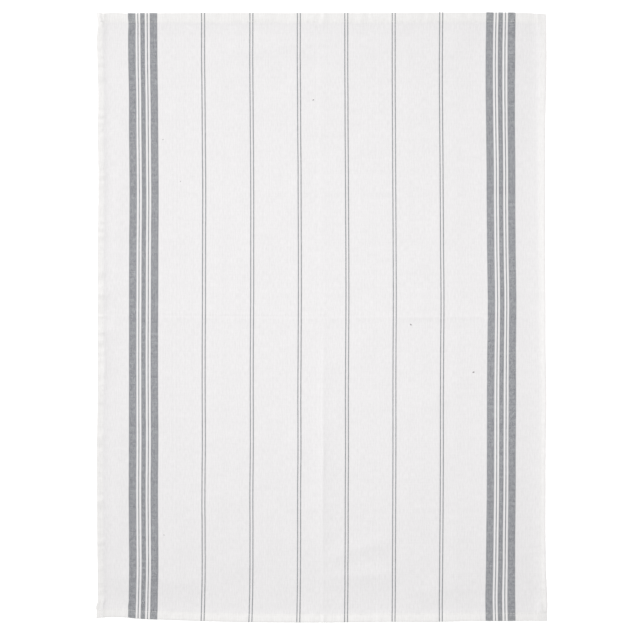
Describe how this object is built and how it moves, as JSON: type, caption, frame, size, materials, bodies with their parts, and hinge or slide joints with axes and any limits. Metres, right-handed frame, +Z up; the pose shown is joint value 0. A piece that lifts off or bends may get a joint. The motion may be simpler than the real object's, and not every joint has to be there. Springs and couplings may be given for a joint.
{
  "type": "tea towel",
  "caption": "Flat rectangular cotton tea towel, hemmed on all sides, with woven lengthwise stripes, lying face up with its press creases.",
  "frame": {"origin": "middle of the footprint, on the surface that the towel lies on", "axes": "+X across the towel to its right, +Y up its length towards the top end, +Z up from the surface, out of its face"},
  "size_m": [0.504, 0.6814, 0.0034],
  "materials": {
    "woven_cotton": "plain-woven off-white cotton with grey woven warp stripes, matt"
  },
  "bodies": {
    "root": {"tea_towel": "woven_cotton"}
  },
  "joints": []
}
